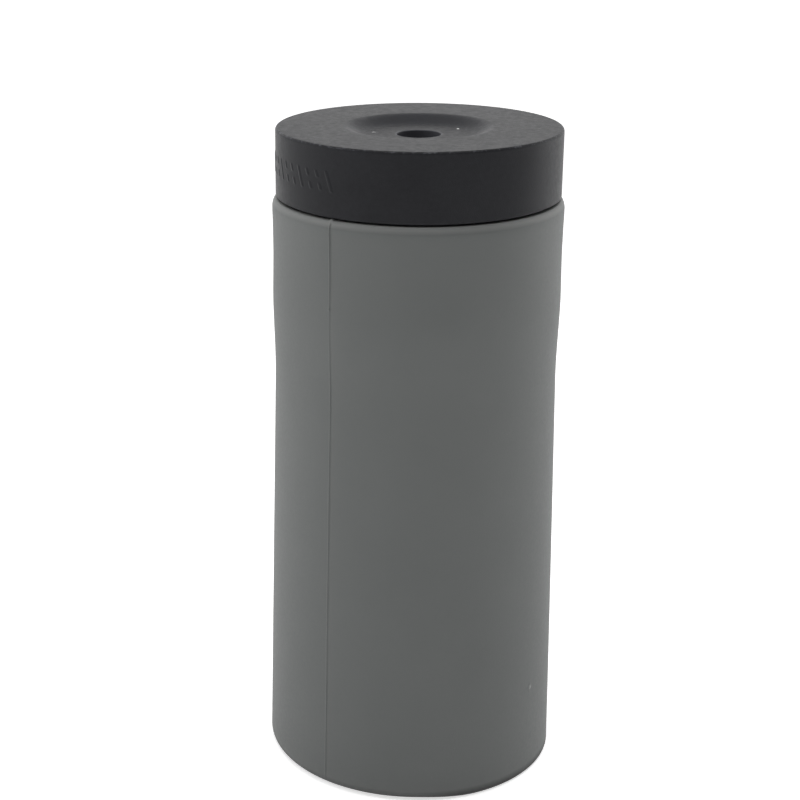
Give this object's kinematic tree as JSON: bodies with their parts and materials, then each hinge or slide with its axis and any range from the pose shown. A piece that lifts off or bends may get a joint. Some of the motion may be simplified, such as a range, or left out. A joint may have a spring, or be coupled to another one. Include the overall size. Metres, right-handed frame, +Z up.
{
  "type": "portable mini washer",
  "caption": "Cylindrical portable mini washer: soft grey tub closed by a charcoal plug-in drive head with a dished top, recessed power button, charging port and hanging agitator.",
  "frame": {"origin": "centre of the tub's underside, on the plane it stands on", "axes": "+Z up along the tub's axis; -Y is the front; +Y is the back, where the charging port is; +X is the viewer's right"},
  "size_m": [0.0957, 0.0956, 0.212],
  "materials": {
    "tub_silicone": "matt fine-textured mid grey silicone",
    "cover_plastic": "matt charcoal, fine spark texture",
    "housing_plastic": "satin charcoal",
    "seal_rubber": "soft matt dark grey",
    "screw_steel": "zinc plated",
    "plate_steel": "pressed and rolled",
    "motor_steel": "nickel plated, drawn",
    "magnet": "grey sintered ferrite",
    "end_cap_plastic": "off-white nylon",
    "terminal_brass": "tinned brass",
    "winding_copper": "enamelled copper on steel laminations",
    "pinion_brass": "machined",
    "shaft_steel": "ground stainless",
    "gear_plastic": "natural acetal, light grease",
    "clip_steel": "blued spring steel",
    "bush_bronze": "sintered bronze",
    "bearing_steel": "polished shields",
    "shaft_seal_rubber": "black nitrile",
    "agitator_plastic": "light grey polypropylene",
    "cell_sleeve": "blue shrink sleeve",
    "cradle_plastic": "black nylon",
    "contact_nickel": "nickel strip",
    "board_laminate": "green solder mask",
    "chip_plastic": "black epoxy",
    "capacitor_sleeve": "dark blue sleeve",
    "socket_shell": "stamped stainless",
    "lamp_lens": "milky light pipe",
    "switch_plastic": "black switch body",
    "plunger_plastic": "grey nylon",
    "guide_plastic": "off-white nylon",
    "spring_steel": "music wire",
    "button_plastic": "matt black",
    "door_plastic": "matt charcoal"
  },
  "bodies": {
    "tub": {"tub": "tub_silicone"},
    "head": {"top_cover": "cover_plastic", "plug_housing": "housing_plastic", "cover_seal": "seal_rubber", "plug_rings": "seal_rubber", "cover_screws": "screw_steel", "well_plugs": "seal_rubber", "gear_plate": "plate_steel", "plate_screws": "screw_steel", "motor_can": "motor_steel", "motor_magnets": "magnet", "motor_end_cap": "end_cap_plastic", "motor_terminals": "terminal_brass", "motor_screws": "screw_steel", "idler_pin": "shaft_steel", "upper_bush": "bush_bronze", "lower_bearing": "bearing_steel", "shaft_seal": "shaft_seal_rubber", "battery_cells": "cell_sleeve", "battery_cradle": "cradle_plastic", "cell_contacts": "contact_nickel", "control_board": "board_laminate", "board_chips": "chip_plastic", "capacitor": "capacitor_sleeve", "board_screws": "screw_steel", "usb_socket": "socket_shell", "charge_lamp": "lamp_lens", "tact_switch": "switch_plastic", "button_guide": "guide_plastic", "button_spring": "spring_steel"},
    "drive": {"output_shaft": "shaft_steel", "output_gear": "gear_plastic", "shaft_clip": "clip_steel", "agitator": "agitator_plastic", "agitator_screw": "screw_steel"},
    "idler": {"idler_gear": "gear_plastic"},
    "rotor": {"armature": "winding_copper", "pinion": "pinion_brass"},
    "power_button": {"power_button": "button_plastic", "switch_plunger": "plunger_plastic"},
    "port_door": {"port_door": "door_plastic"}
  },
  "joints": [
    {"name": "head_lift", "type": "slide", "parent": "tub", "child": "head", "axis": [0, 0, 1], "range_m": [0, 0.18]},
    {"name": "agitator_spin", "type": "hinge", "parent": "head", "child": "drive", "pos_m": [0, 0, 0.17], "axis": [0, 0, 1], "continuous": true},
    {"name": "idler_spin", "type": "hinge", "parent": "head", "child": "idler", "pos_m": [0.0224, 0, 0.165], "axis": [0, 0, 1], "continuous": true},
    {"name": "motor_spin", "type": "hinge", "parent": "head", "child": "rotor", "pos_m": [0.01286, 0.01526, 0.175], "axis": [0, 0, 1], "continuous": true},
    {"name": "power_press", "type": "slide", "parent": "head", "child": "power_button", "axis": [0, 0, -1], "range_m": [0, 0.0012], "stiffness_N_per_m": 900, "springref_m": -0.0004, "deforming": ["button_spring"]},
    {"name": "port_door_open", "type": "hinge", "parent": "head", "child": "port_door", "pos_m": [0, 0.0434, 0.1948], "axis": [-1, 0, 0], "range_deg": [0, 90]}
  ],
  "couplings": [
    {"joint": "idler_spin", "follows": "agitator_spin", "ratio": -3},
    {"joint": "motor_spin", "follows": "agitator_spin", "ratio": 12}
  ]
}
